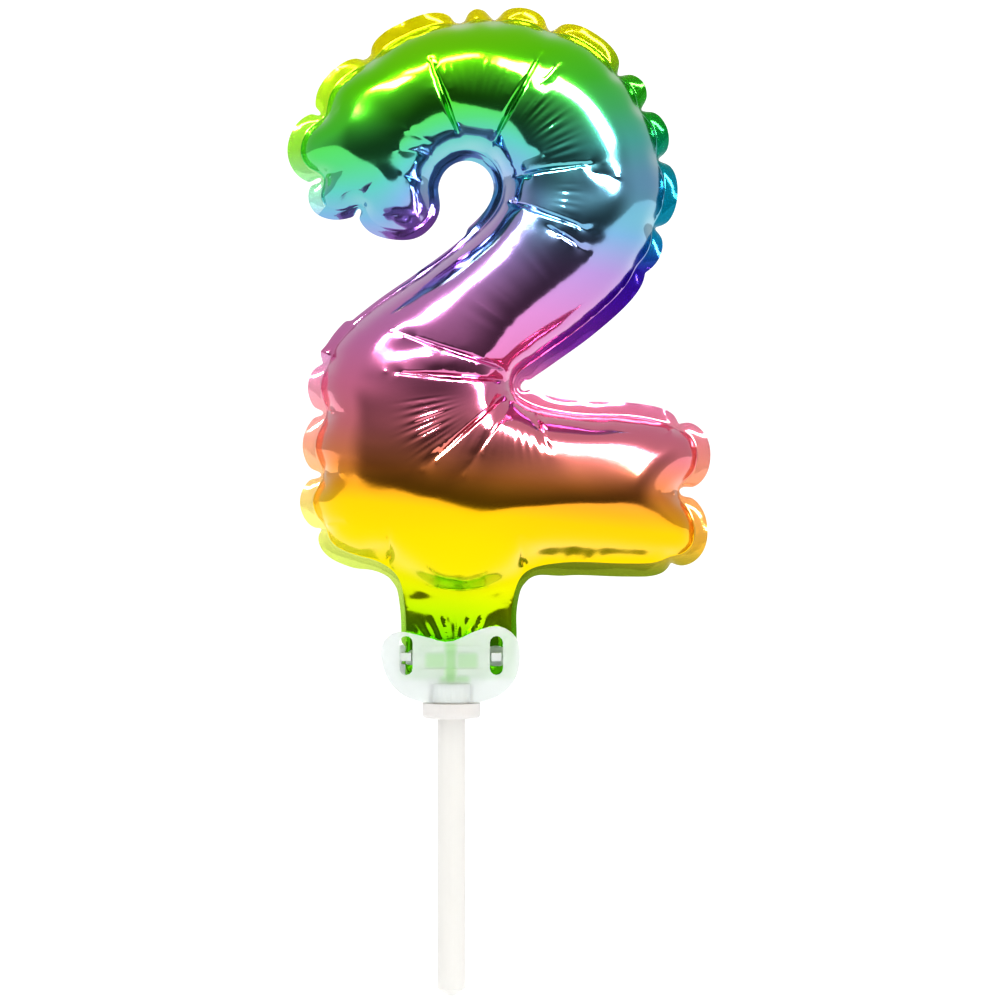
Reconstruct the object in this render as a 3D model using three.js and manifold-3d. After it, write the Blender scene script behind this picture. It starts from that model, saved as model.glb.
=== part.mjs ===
// A mini foil balloon in the shape of a 2, held over a cake by a clip on a plastic stick.
// Units are millimetres. +Z is up, -Y is the front, and the origin is the stick's tip.
import * as THREE from "three";
import { mergeVertices } from "three/addons/utils/BufferGeometryUtils.js";
import Module from "manifold-3d";

// Driving dimensions.
const ROUND_SIDES = 32; // facets round every turned piece
const TUBE_SIDES = 20; // facets round the inflated tube
const TUBE_STEPS = 26; // sections along the head and the diagonal
const CAP_RINGS = 3; // rings in each round end of the tube
const CONTACT_GAP = 0.3; // between faces that touch on the real object
const RUNNING_GAP = 0.08; // radial clearance of a push or turning fit

const STICK_RADIUS = 2.8;
const STICK_BORE_RADIUS = 2.15;
const STICK_TOP = 60.7;
const STICK_FLOOR = 3; // thickness of the closed tip
const TIP_RADIUS = 0.6;
const TIP_HEIGHT = 1.5;

const FLANGE_BOTTOM = 55.5;
const FLANGE_TOP = 58.5;
const FLANGE_RADIUS = 5.8;
const FLANGE_ROUND = 0.8;
const SPIGOT_RADIUS = 3.4;
const SPIGOT_TOP = 61.6;

const BOSS_RADIUS = 4.6;
const BOSS_TOP = 62.5;
const PLATE_FRONT = -2.7;
const PLATE_BACK = -1.5;
const SLOT_X = 9;
const SLOT_HALF_WIDTH = 1.3;
const SLOT_LOW = 64.2;
const SLOT_HIGH = 72;
const RIDGE_HEIGHT = 0.4;
const RIDGE_HALF_LENGTH = 6;

const PEG_Z = 67.8;
const PEG_HALF_WIDTH = 1;
const PEG_HALF_HEIGHT = 0.8;
const JAW_FRONT = 2.1;
const JAW_BACK = 3.1;
const JAW_HALF_LENGTH = 12;
const JAW_LOW = 63.2;
const JAW_HIGH = 70.2;
const JAW_CORNER = 3;

const FILM = 0.3; // thickness given to the foil, which is far thinner
const SEAM_GAP = 0.15; // half the gap between the two foils along their seam
const SEAM_WIDTH = 2.5; // flat welded edge outside the inflated tube
const BASE_Z = 101.5; // height of the base bar's axis
const BASE_LEFT_X = -12.4;
const BASE_RIGHT_X = 34.3;
const BASE_RADIUS = 14.3;
const CORNER_Z = 122.9;
const SEAM_BOTTOM = BASE_Z - BASE_RADIUS - SEAM_WIDTH; // lowest edge of the numeral's seam

const NECK_LEFT = -10.8;
const NECK_RIGHT = 13.5;
const NECK_BOTTOM = BOSS_TOP + CONTACT_GAP;
const NECK_TAPER_X = 11; // the right corner is cut back so that it stays behind the clip
const NECK_TAPER_Z = 70;
const NECK_FLARE_LOW = 79.5;
const NECK_FLARE_LEFT = -17;
const NECK_FLARE_RIGHT = 19;
const NECK_TOP = 88;
const POCKET_LEFT = -5.4;
const POCKET_RIGHT = 7;
const POCKET_DEPTH = 0.9; // from the middle plane to the inside of the filling channel
const POCKET_SLOPE = 0.9;

const VALVE_MARGIN = 0.5;
const VALVE_NEAR = 0.3;
const VALVE_FAR = 0.5;
const VALVE_BOTTOM = 64;
const VALVE_TOP = 104;

// Axis of the head and the diagonal: x, z and the tube's radius there.
const HEAD_AXIS = [
  [-15.5, 165, 12.4],
  [-15.3, 172.5, 13],
  [-8.5, 180, 13],
  [6.5, 183.2, 12.3],
  [21.2, 177.3, 13.4],
  [27.4, 162.8, 15.1],
  [18.5, 146.2, 14.6],
  [3.2, 134.6, 14.2],
  [BASE_LEFT_X, CORNER_Z, 14.2],
];

// Colour of the metallised print at a height, from the neck up.
const PRINT = [
  [60, 0x3ca014],
  [82, 0xc8dc00],
  [92, 0xffdc00],
  [103, 0xc8783c],
  [119, 0xdc3cb4],
  [139, 0x5a28b4],
  [149, 0x3232a0],
  [160, 0x00aabe],
  [172, 0x14a03c],
  [184, 0x50b400],
  [198, 0xe6dc00],
];

const wasm = await Module();
wasm.setup();

// A closed geometry as a solid that can be joined and cut.
function solidOf(geometry) {
  const bare = new THREE.BufferGeometry();
  bare.setAttribute("position", geometry.getAttribute("position"));
  bare.setIndex(geometry.index);
  const merged = mergeVertices(bare, 1e-4);
  const triVerts = new Uint32Array(merged.index.array);
  const vertProperties = merged.attributes.position.array;
  return new wasm.Manifold(new wasm.Mesh({ numProp: 3, vertProperties, triVerts }));
}

function geometryOf(solid) {
  const mesh = solid.getMesh();
  const geometry = new THREE.BufferGeometry();
  geometry.setAttribute("position", new THREE.BufferAttribute(mesh.vertProperties, mesh.numProp));
  geometry.setIndex(new THREE.BufferAttribute(mesh.triVerts, 1));
  const flat = geometry.toNonIndexed();
  flat.computeVertexNormals();
  return flat;
}

function box(x0, x1, y0, y1, z0, z1) {
  const geometry = new THREE.BoxGeometry(x1 - x0, y1 - y0, z1 - z0);
  geometry.translate((x0 + x1) / 2, (y0 + y1) / 2, (z0 + z1) / 2);
  return solidOf(geometry);
}

// A turned piece about the Z axis from a profile of [radius, z] points.
function turned(profile) {
  const points = profile.map(([r, z]) => new THREE.Vector2(r, z));
  const geometry = new THREE.LatheGeometry(points, ROUND_SIDES);
  return geometry.rotateX(Math.PI / 2);
}

// A flat plate whose outline is drawn in x and z, between two values of y.
function plate(outline, yLow, yHigh, curveSegments = 8) {
  const options = { depth: yHigh - yLow, bevelEnabled: false, curveSegments };
  const geometry = new THREE.ExtrudeGeometry(outline, options);
  geometry.rotateX(Math.PI / 2);
  return solidOf(geometry.translate(0, yHigh, 0));
}

// A round tube along stations {x, z, r}, with round ends and its axis in the plane y = 0.
function roundTube(stations) {
  const rings = [];
  const first = stations[0];
  const last = stations[stations.length - 1];
  const along = (a, b) => new THREE.Vector2(b.x - a.x, b.z - a.z).normalize();
  const startDir = along(first, stations[1]);
  const endDir = along(stations[stations.length - 2], last);
  const addRing = (s, dir, shift, r) => {
    const centre = new THREE.Vector2(s.x + dir.x * shift, s.z + dir.y * shift);
    rings.push({ centre, dir, r });
  };
  for (let i = 1; i <= CAP_RINGS; i++) {
    const a = (Math.PI / 2) * (i / (CAP_RINGS + 1));
    addRing(first, startDir, -first.r * Math.cos(a), first.r * Math.sin(a));
  }
  stations.forEach((s, i) => {
    const before = stations[Math.max(i - 1, 0)];
    const after = stations[Math.min(i + 1, stations.length - 1)];
    addRing(s, along(before, after), 0, s.r);
  });
  for (let i = CAP_RINGS; i >= 1; i--) {
    const a = (Math.PI / 2) * (i / (CAP_RINGS + 1));
    addRing(last, endDir, last.r * Math.cos(a), last.r * Math.sin(a));
  }
  const positions = [];
  for (const { centre, dir, r } of rings) {
    for (let k = 0; k < TUBE_SIDES; k++) {
      const a = (2 * Math.PI * k) / TUBE_SIDES;
      const side = r * Math.cos(a);
      positions.push(centre.x - dir.y * side, r * Math.sin(a), centre.y + dir.x * side);
    }
  }
  const index = [];
  const startPole = positions.length / 3;
  positions.push(first.x - startDir.x * first.r, 0, first.z - startDir.y * first.r);
  positions.push(last.x + endDir.x * last.r, 0, last.z + endDir.y * last.r);
  const lastRing = (rings.length - 1) * TUBE_SIDES;
  for (let k = 0; k < TUBE_SIDES; k++) {
    const next = (k + 1) % TUBE_SIDES;
    index.push(startPole, k, next);
    index.push(startPole + 1, lastRing + next, lastRing + k);
    for (let i = 0; i < rings.length - 1; i++) {
      const a = i * TUBE_SIDES;
      const b = a + TUBE_SIDES;
      index.push(a + k, b + k, a + next);
      index.push(a + next, b + k, b + next);
    }
  }
  const geometry = new THREE.BufferGeometry();
  geometry.setAttribute("position", new THREE.Float32BufferAttribute(positions, 3));
  geometry.setIndex(index);
  return solidOf(geometry);
}

// The inflated numeral, grown by a distance (negative for its inside).
function numeral(grow) {
  const axis = new THREE.CatmullRomCurve3(
    HEAD_AXIS.map(([x, z, r]) => new THREE.Vector3(x, r, z)),
  );
  const head = [];
  for (let i = 0; i <= TUBE_STEPS; i++) {
    const p = axis.getPoint(i / TUBE_STEPS);
    head.push({ x: p.x, z: p.z, r: p.y + grow });
  }
  const r = BASE_RADIUS + grow;
  const corner = { x: BASE_LEFT_X, z: CORNER_Z, r };
  const left = { x: BASE_LEFT_X, z: BASE_Z, r };
  const right = { x: BASE_RIGHT_X, z: BASE_Z, r };
  return roundTube(head).add(roundTube([left, corner])).add(roundTube([left, right]));
}

// The flat neck of one foil, with the flare that joins it to the numeral's seam.
function neckSheet() {
  const outline = new THREE.Shape();
  outline.moveTo(NECK_LEFT, NECK_BOTTOM);
  outline.lineTo(NECK_TAPER_X, NECK_BOTTOM);
  outline.lineTo(NECK_RIGHT, NECK_TAPER_Z);
  outline.lineTo(NECK_RIGHT, NECK_FLARE_LOW);
  outline.quadraticCurveTo(NECK_RIGHT, SEAM_BOTTOM, NECK_FLARE_RIGHT, SEAM_BOTTOM + 0.9);
  outline.lineTo(NECK_FLARE_RIGHT, NECK_TOP);
  outline.lineTo(NECK_FLARE_LEFT, NECK_TOP);
  outline.lineTo(NECK_FLARE_LEFT, SEAM_BOTTOM + 0.9);
  outline.quadraticCurveTo(NECK_LEFT, SEAM_BOTTOM, NECK_LEFT, NECK_FLARE_LOW);
  return plate(outline, -SEAM_GAP - FILM, -SEAM_GAP, 5);
}

// The raised filling channel of one foil's neck.
function neckChannel() {
  const inner = [
    [POCKET_LEFT - 2 * POCKET_SLOPE, SEAM_GAP],
    [POCKET_LEFT - POCKET_SLOPE, SEAM_GAP],
    [POCKET_LEFT, POCKET_DEPTH],
    [POCKET_RIGHT, POCKET_DEPTH],
    [POCKET_RIGHT + POCKET_SLOPE, SEAM_GAP],
    [POCKET_RIGHT + 2 * POCKET_SLOPE, SEAM_GAP],
  ];
  const outline = new THREE.Shape();
  inner.forEach(([x, depth], i) => {
    if (i === 0) outline.moveTo(x, -depth);
    else outline.lineTo(x, -depth);
  });
  [...inner].reverse().forEach(([x, depth]) => outline.lineTo(x, -depth - FILM));
  const options = { depth: NECK_TOP - NECK_BOTTOM, bevelEnabled: false };
  const geometry = new THREE.ExtrudeGeometry(outline, options);
  return solidOf(geometry.translate(0, 0, NECK_BOTTOM));
}

function pegHole(x) {
  const halfWidth = PEG_HALF_WIDTH + CONTACT_GAP;
  const halfHeight = PEG_HALF_HEIGHT + CONTACT_GAP;
  return box(x - halfWidth, x + halfWidth, -5, 5, PEG_Z - halfHeight, PEG_Z + halfHeight);
}

// One foil sheet: half of the inflated tube, its flat seam edge and its half of the neck.
function foilSheet() {
  const inside = numeral(-FILM);
  const frontHalf = box(-60, 80, -40, -SEAM_GAP, 40, 240);
  const seamSlab = box(-60, 80, -SEAM_GAP - FILM, -SEAM_GAP, 40, 240);
  const slopeFoot = POCKET_SLOPE * 0.8;
  const throat = box(
    POCKET_LEFT - slopeFoot,
    POCKET_RIGHT + slopeFoot,
    -POCKET_DEPTH,
    1,
    NECK_BOTTOM - 1,
    BASE_Z,
  );
  let sheet = numeral(0).intersect(frontHalf);
  sheet = sheet.add(numeral(SEAM_WIDTH).intersect(seamSlab));
  sheet = sheet.add(neckSheet()).subtract(throat);
  sheet = sheet.add(neckChannel()).subtract(inside);
  return geometryOf(sheet.subtract(pegHole(-SLOT_X)).subtract(pegHole(SLOT_X)));
}

// One film of the flat self-sealing valve inside the neck.
function valveFilm() {
  const x0 = POCKET_LEFT + VALVE_MARGIN;
  const x1 = POCKET_RIGHT - VALVE_MARGIN;
  const outline = new THREE.Shape();
  outline.moveTo(x0, VALVE_BOTTOM);
  outline.lineTo(x1, VALVE_BOTTOM);
  outline.lineTo(x1, VALVE_TOP);
  outline.lineTo(x0, VALVE_TOP);
  return geometryOf(plate(outline, -VALVE_FAR, -VALVE_NEAR));
}

// The butterfly-shaped front plate of the clip, with a slot in each wing.
function clipOutline() {
  const outline = new THREE.Shape();
  outline.moveTo(-FLANGE_RADIUS, FLANGE_TOP + CONTACT_GAP);
  outline.lineTo(FLANGE_RADIUS, FLANGE_TOP + CONTACT_GAP);
  const right = [[9.6, 60.2], [12.6, 63.2], [13.7, 67.6], [12.9, 71.7], [9.6, 73.9], [5.2, 73.1]];
  const left = [[-5.5, 71.9], [-10.4, 72.8], [-13.4, 71], [-13.9, 67.2], [-12.3, 62.9], [-9.4, 60.1]];
  const rim = [...right, [-0.4, 70.8], ...left, [-FLANGE_RADIUS, FLANGE_TOP + CONTACT_GAP]];
  outline.splineThru(rim.map(([x, z]) => new THREE.Vector2(x, z)));
  for (const x of [-SLOT_X, SLOT_X]) {
    const slot = new THREE.Path();
    slot.moveTo(x + SLOT_HALF_WIDTH, SLOT_LOW + SLOT_HALF_WIDTH);
    slot.absarc(x, SLOT_HIGH - SLOT_HALF_WIDTH, SLOT_HALF_WIDTH, 0, Math.PI);
    slot.absarc(x, SLOT_LOW + SLOT_HALF_WIDTH, SLOT_HALF_WIDTH, Math.PI, 2 * Math.PI);
    outline.holes.push(slot);
  }
  return outline;
}

function clipFront() {
  const boreTop = SPIGOT_TOP + CONTACT_GAP;
  const bottom = FLANGE_TOP + CONTACT_GAP;
  const boss = turned([[0, bottom], [BOSS_RADIUS, bottom], [BOSS_RADIUS, BOSS_TOP], [0, BOSS_TOP]]);
  const boreRadius = SPIGOT_RADIUS + RUNNING_GAP;
  const bore = turned([[0, bottom - 1], [boreRadius, bottom - 1], [boreRadius, boreTop], [0, boreTop]]);
  let solid = plate(clipOutline(), PLATE_FRONT, PLATE_BACK, 3).add(solidOf(boss));
  for (const [low, high] of [[64.3, 65.4], [69, 70]]) {
    const ridgeFront = PLATE_FRONT - RIDGE_HEIGHT;
    const length = RIDGE_HALF_LENGTH;
    solid = solid.add(box(-length, length, ridgeFront, PLATE_BACK - 0.5, low, high));
  }
  return geometryOf(solid.subtract(solidOf(bore)));
}

// The rear jaw: a plate with a cross-shaped pad and two pegs that pass through the foils.
function clipBack() {
  const outline = new THREE.Shape();
  const x = JAW_HALF_LENGTH;
  const c = JAW_CORNER;
  outline.moveTo(-x + c, JAW_LOW);
  outline.lineTo(x - c, JAW_LOW);
  outline.absarc(x - c, JAW_LOW + c, c, -Math.PI / 2, 0);
  outline.absarc(x - c, JAW_HIGH - c, c, 0, Math.PI / 2);
  outline.absarc(-x + c, JAW_HIGH - c, c, Math.PI / 2, Math.PI);
  outline.absarc(-x + c, JAW_LOW + c, c, Math.PI, 1.5 * Math.PI);
  const padFace = POCKET_DEPTH + FILM + CONTACT_GAP;
  let solid = plate(outline, JAW_FRONT, JAW_BACK, 5);
  solid = solid.add(box(-1.3, 1.3, padFace, JAW_FRONT + 0.5, JAW_LOW + 0.2, JAW_HIGH - 0.2));
  solid = solid.add(box(-5.3, 5.3, padFace, JAW_FRONT + 0.5, 65.5, 68.7));
  for (const peg of [-SLOT_X, SLOT_X]) {
    const [x0, x1] = [peg - PEG_HALF_WIDTH, peg + PEG_HALF_WIDTH];
    const [z0, z1] = [PEG_Z - PEG_HALF_HEIGHT, PEG_Z + PEG_HALF_HEIGHT];
    solid = solid.add(box(x0, x1, PLATE_FRONT, JAW_FRONT + 0.5, z0, z1));
  }
  return geometryOf(solid);
}

// The hollow stick, closed to a blunt point at its tip.
function stick() {
  return turned([
    [0, 0],
    [TIP_RADIUS, 0],
    [STICK_RADIUS, TIP_HEIGHT],
    [STICK_RADIUS, STICK_TOP],
    [STICK_BORE_RADIUS, STICK_TOP],
    [STICK_BORE_RADIUS, STICK_FLOOR],
    [0, STICK_FLOOR],
  ]);
}

// The collar pushed onto the stick, with the spigot that the clip turns on.
function collar() {
  const bore = STICK_RADIUS + RUNNING_GAP;
  const boreTop = STICK_TOP + CONTACT_GAP;
  const edge = [];
  for (let i = 0; i <= 4; i++) {
    const a = (Math.PI / 2) * (i / 4);
    const r = FLANGE_RADIUS - FLANGE_ROUND + FLANGE_ROUND * Math.sin(a);
    edge.push([r, FLANGE_BOTTOM + FLANGE_ROUND - FLANGE_ROUND * Math.cos(a)]);
  }
  const outside = [[FLANGE_RADIUS, FLANGE_TOP], [SPIGOT_RADIUS, FLANGE_TOP], [SPIGOT_RADIUS, SPIGOT_TOP]];
  const inside = [[0, boreTop], [bore, boreTop], [bore, FLANGE_BOTTOM]];
  return turned([...inside, ...edge, ...outside, [0, SPIGOT_TOP]]);
}

// Colours each corner of a foil by its height, as the print does.
function paintPrint(geometry) {
  const position = geometry.getAttribute("position");
  const colors = new Float32Array(position.count * 3);
  const low = new THREE.Color();
  const high = new THREE.Color();
  for (let i = 0; i < position.count; i++) {
    const z = position.getZ(i);
    let step = PRINT.findIndex(([level]) => level > z);
    if (step === -1) step = PRINT.length - 1;
    step = Math.max(step, 1);
    const [z0, c0] = PRINT[step - 1];
    const [z1, c1] = PRINT[step];
    const share = THREE.MathUtils.clamp((z - z0) / (z1 - z0), 0, 1);
    low.setHex(c0).lerp(high.setHex(c1), share).toArray(colors, 3 * i);
  }
  geometry.setAttribute("color", new THREE.BufferAttribute(colors, 3));
  return geometry;
}

const foilLook = new THREE.MeshStandardMaterial({ vertexColors: true, metalness: 1, roughness: 0.12 });
const clipLook = new THREE.MeshStandardMaterial({
  color: 0xf2f6f2,
  roughness: 0.3,
  metalness: 0,
  transparent: true,
  opacity: 0.6,
});
const collarLook = new THREE.MeshStandardMaterial({ color: 0xf6f3ee, roughness: 0.35, metalness: 0 });
const stickLook = new THREE.MeshStandardMaterial({ color: 0xf5f6f0, roughness: 0.35, metalness: 0 });
const valveLook = new THREE.MeshStandardMaterial({
  color: 0xe8eef0,
  roughness: 0.2,
  metalness: 0,
  transparent: true,
  opacity: 0.4,
});

const topper = new THREE.Group();
topper.name = "number_balloon_topper";

function addPiece(name, geometry, material, mirrored = false) {
  const mesh = new THREE.Mesh(geometry, material);
  mesh.name = name;
  if (mirrored) mesh.scale.y = -1; // the same piece on the other side of the middle plane
  topper.add(mesh);
}

const foilGeometry = paintPrint(foilSheet());
const valveGeometry = valveFilm();
addPiece("stick", stick(), stickLook);
addPiece("collar", collar(), collarLook);
addPiece("clip_front", clipFront(), clipLook);
addPiece("clip_back", clipBack(), clipLook);
addPiece("front_foil", foilGeometry, foilLook);
addPiece("back_foil", foilGeometry, foilLook, true);
addPiece("valve_front", valveGeometry, valveLook);
addPiece("valve_back", valveGeometry, valveLook, true);

export default topper;
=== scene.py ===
"""A foil number balloon on a stick: its printed film, blown up from a flat cut, and its plastic pieces."""

import math

import bpy
import numpy as np
from mathutils import Matrix, Vector
from mathutils.geometry import delaunay_2d_cdt

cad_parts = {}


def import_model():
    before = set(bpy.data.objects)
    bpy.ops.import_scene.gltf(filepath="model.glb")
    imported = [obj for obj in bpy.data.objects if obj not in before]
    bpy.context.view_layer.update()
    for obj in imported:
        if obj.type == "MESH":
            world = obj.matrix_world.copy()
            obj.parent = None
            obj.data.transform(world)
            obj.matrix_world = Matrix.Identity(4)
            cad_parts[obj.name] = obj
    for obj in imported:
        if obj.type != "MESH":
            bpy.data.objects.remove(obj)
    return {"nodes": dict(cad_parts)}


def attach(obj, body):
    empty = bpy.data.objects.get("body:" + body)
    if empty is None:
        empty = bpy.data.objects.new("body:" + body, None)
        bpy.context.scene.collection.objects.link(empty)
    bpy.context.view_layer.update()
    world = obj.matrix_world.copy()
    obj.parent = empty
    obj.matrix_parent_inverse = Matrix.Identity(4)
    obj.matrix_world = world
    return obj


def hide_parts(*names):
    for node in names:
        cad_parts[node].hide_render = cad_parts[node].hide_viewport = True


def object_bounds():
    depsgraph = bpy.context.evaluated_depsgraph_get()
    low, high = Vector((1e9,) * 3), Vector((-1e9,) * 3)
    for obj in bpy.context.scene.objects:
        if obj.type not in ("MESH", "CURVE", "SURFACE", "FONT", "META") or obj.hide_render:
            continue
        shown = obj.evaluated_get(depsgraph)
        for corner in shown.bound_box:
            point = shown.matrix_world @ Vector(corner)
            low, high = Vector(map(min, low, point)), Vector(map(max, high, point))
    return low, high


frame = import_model()
CAD_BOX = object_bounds()
MM = 0.001

# ---- Driving sizes of the foil, in millimetres ----
SPACING = 1.45  # side of the cloth's triangles
GRID_SHAKE = 0.12  # this and the next two are shares of that side
EDGE_CLEARANCE = 0.62
LINE_CLEARANCE = 0.68
SLACK = 0.7  # how much of the flat cut's extra size is used
SEAM_GAP = 0.06  # half the gap between the two films where they are welded
RIM = 2.7  # width of the weld outside the air chamber
RIM_ROWS = 6
RIM_BEND = 0.42  # on an inside bend the rim is no wider than this share of the bend's radius
CLEAR_TURN = math.radians(8)  # how far the clear rim leans back where it is not puckered
METAL_TURN = math.radians(46)  # and how far the metallised rim and the neck's do
PUCKER_TURN = math.radians(78)  # how far a full pucker turns the rim back
RIM_CURL = 0.22  # how far the rim bows out across its width
RIM_WAVE = 0.5  # and how far its outer edge waves
RIM_CLOSES = 0.6  # share of the seam's gap that closes by the rim's outer edge
NECK_RIM = 1.5  # width of the rim at the neck and along the long inner edge
NECK_X = 1.5  # middle of the neck
FILLET = (13.0, 21.0)  # how far from the neck's middle its edge turns into the digit's
NECK_TOP = 86.0  # the chamber is full above this height
NECK_HELD = 79.0  # and not blown up below this one
RIM_WIDENS = (NECK_TOP - 2, NECK_TOP + 4)  # the rim widens between these heights
RIM_LIES = NECK_TOP - 3  # and leans back as little as CLEAR_TURN says only above this one
BULGE_END = (2.0, 82.0, 0.031)  # the bulge above the neck ends on a parabola: middle x, lowest z, steepness
BULGE_RISE = 7.0  # and the parabola rises by no more than this
CLAMPED = 73.0  # the clip holds the film flat below this height
NECK_HALF = 0.9  # half thickness of the flat neck
NECK_SLOPE = 0.5  # which thins towards the weld
TUBE_CAP = 15.6  # the film lets the tube grow no further than this from the middle plane
CAP_POWER = 8.0  # higher keeps the tube round closer to that limit
FLAT_HALF = 0.6  # half thickness of the flat cut where the cloth starts
FILL_FRAMES = 12  # the springs reach the blown-up shape at this frame
CLOTH_FRAMES = 55  # and the simulation ends at this one
ROUNDNESS = 0.85  # how far the blown-up cloth is drawn to the even round tube
VALVE_BULGE = (2.0, 80.0, 7.5, 5.5, 2.2)  # the valve pushes the neck out: x, z, half sizes, height
PEG_HOLES = ((-9.0, 67.8), (9.0, 67.8))
PEG_HOLE_R = 1.3
COUNTER = (3.0, 161.0)  # middle of the counter
COUNTER_RIM = 13.0  # the counter's rim is nearer to it than this
INNER_EDGE = (-26.0, 10.0, 128.0, 158.0)  # box round the long inner edge: x from and to, z from and to
NARROW_EDGE = (4.0, 134.0, 152.0)  # the stretch of it with a narrow rim: x to, z from and to

# The weld line of the blown-up balloon, seen from the front: x, z, and how much further out it lies in the
# flat cut along x and z.
SEAM = (
    # neck
    (-9.0, 64.6, 0, -15.5), (10.0, 64.6, 0, -15.5), (11.9, 70, 0, -14), (12.1, 78, 0.5, -11),
    (14.5, 84.6, 2, -8),
    # underside of the base
    (22, 86.6, 2, -8), (35, 86.4, 4, -8), (43.5, 86.6, 7, -7),
    # right end of the base, two lobes
    (48, 89.5, 8.5, -4.5), (48.6, 95, 8.5, -1.5), (46.8, 100.4, 8.5, 0), (49, 105, 8.5, 2),
    (49, 110.5, 8, 4), (46, 114.2, 7, 7), (41.5, 115.2, 5, 8),
    # top of the base and the notch
    (35, 116, 4, 8), (25, 116.3, 3, 8), (16.5, 118, 3, 8), (12.5, 120.5, 3, 8), (12.8, 124, 3, 8),
    (17.5, 127.6, 3, 8),
    # outside of the bowl
    (27, 134.5, 4, 8.5), (35.5, 142.5, 6, 12), (41, 152, 8.5, 16), (42.8, 163, 9, 21),
    (40.5, 174, 8.5, 26.5), (34.4, 184.4, 5.5, 31.5), (24.4, 192, 1, 34.5), (13, 195.4, -3.5, 36),
    (1, 195.4, -7.5, 36), (-9.8, 191.8, -12, 34.5), (-18.4, 186.2, -16, 32), (-24.2, 180.8, -18.5, 29.5),
    # three lobes at the tip
    (-26.2, 176.2, -20, 27), (-29.2, 172.8, -20, 25), (-30.3, 168.4, -20.5, 22), (-28.8, 165.2, -20, 20),
    (-26.2, 163.4, -19.5, 18.5), (-26.6, 160, -19, 17), (-24.6, 157.2, -18, 15.5), (-21.2, 157.2, -17, 15),
    (-18.2, 158, -16, 14.5), (-16, 154.6, -14, 14), (-12, 153.2, -12, 15), (-7.5, 153.4, -9, 16.5),
    # counter
    (-4.2, 157, -7, 19), (-4.6, 162.3, -6.4, 21), (-2.2, 167, -6.4, 21), (3, 169.2, -6.4, 21),
    (8.0, 167.2, -6.4, 21), (10.4, 162.6, -6.4, 21), (9.2, 157.4, -6.4, 21),
    # long inner edge
    (3.6, 151.4, -6.4, 21), (-5.4, 144.4, -6.8, 21), (-15.4, 137.4, -9, 19), (-22, 131.6, -10.5, 14),
    # left side of the base
    (-25.6, 126, -10.5, 8), (-26.4, 121.5, -10, 6), (-25.8, 116.6, -9.5, 4), (-27.4, 110, -9.3, 1),
    (-26.6, 104, -9, -1), (-28, 99, -9, -3), (-26.4, 93.6, -8.4, -5), (-24, 90.2, -7, -7),
    (-19.5, 88.2, -4, -8), (-14.5, 86.8, -2, -8), (-10.8, 84, -1, -8.5), (-9.3, 78, -0.3, -11),
    (-9.0, 70, 0, -14),
)

# Puckers of the weld: x, z, half the length that is folded away, how far it is drawn in, and what share of
# a full turn back its rim makes.
PUCKERS = (
    (1.8, 195.8, 1.0, 1.3, 1.0), (9.2, 195.8, 0.6, 1.1, 1.0), (19.8, 194.0, 0.7, 1.3, 1.0),
    (34.4, 184.8, 0.5, 1.5, 1.0), (39.4, 177.6, 0.5, 1.5, 1.0), (42.4, 167.3, 0.4, 1.5, 1.0),
    (42.4, 153.0, 0.4, 1.4, 1.0), (-16.6, 187.2, 1.0, 0.9, 0.8), (-26.2, 176.2, 0.3, 1.2, 0.6),
    (-26.2, 163.4, 0.3, 1.2, 0.6), (-18.2, 158.0, 0.2, 0.3, 0.2), (-25.6, 126.2, 0.4, 1.0, 0.8),
    (-25.8, 116.6, 0.3, 1.2, 0.8), (-26.6, 104.0, 0.3, 1.4, 0.9), (-26.4, 93.6, 0.3, 1.4, 0.8),
    (46.6, 100.4, 0.5, 2.0, 1.0), (45.4, 114.2, 0.4, 1.4, 0.8), (43.6, 86.6, 0.3, 1.2, 0.8),
    (37.4, 145.4, 0.3, 0.8, 0.5),
)
PUCKER_REACH = 2.4  # a pucker dies away over about this length of the weld
PUCKER_BACK = 0.5  # how far back a pucker lies for each millimetre that it is drawn in

# Folds that the film makes where the tube bends: start at the weld, end on the tube, and depth.
FOLDS = (
    ((1.6, 171.2), (-4.2, 186.6), 3.0),
    ((8.2, 169.4), (18.2, 187.8), 3.0),
    ((17.6, 180.8), (21.8, 185.4), 1.4),
    ((12.4, 163.2), (29.8, 165.4), 2.4),
    ((12.2, 165.6), (18.8, 167.4), 1.2),
    ((27.4, 163.4), (32.8, 162.6), 1.0),
    ((10.8, 158.4), (28.2, 151.6), 2.4),
    ((18.4, 153.2), (27.4, 147.6), 1.8),
    ((-4.0, 167.8), (-11.0, 168.4), 1.4),
    ((-3.2, 169.6), (-9.0, 172.2), 1.0),
    ((-6.0, 162.8), (-10.0, 163.4), 0.9),
    ((11.0, 122.8), (-12.6, 124.2), 2.8),
    ((11.4, 124.8), (-11.4, 132.4), 2.2),
    ((11.4, 120.6), (-5.2, 105.2), 2.4),
    ((12.4, 118.6), (2.6, 104.2), 1.4),
    ((16.8, 116.6), (19.6, 107.4), 1.4),
    ((-24.2, 176.2), (-21.6, 176.8), 1.2),
    ((-24.4, 163.8), (-20.8, 164.8), 1.2),
    ((-17.2, 159.6), (-14.8, 162.6), 1.2),
    ((-13.8, 156.0), (-6.6, 155.8), 0.9),
    ((-24.0, 116.6), (-20.4, 116.4), 0.9),
    ((-24.8, 104.2), (-21.4, 104.6), 0.4),
    ((-24.6, 94.2), (-20.4, 95.2), 0.9),
    ((44.8, 100.4), (41.2, 100.6), 1.4),
    ((43.8, 112.8), (40.4, 110.8), 1.0),
    ((-12.4, 87.6), (-12.0, 94.6), 1.0),
    ((14.6, 86.4), (13.6, 93.0), 1.0),
)
FOLD_START = 0.35  # share of a fold's depth that it has at the weld
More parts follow.
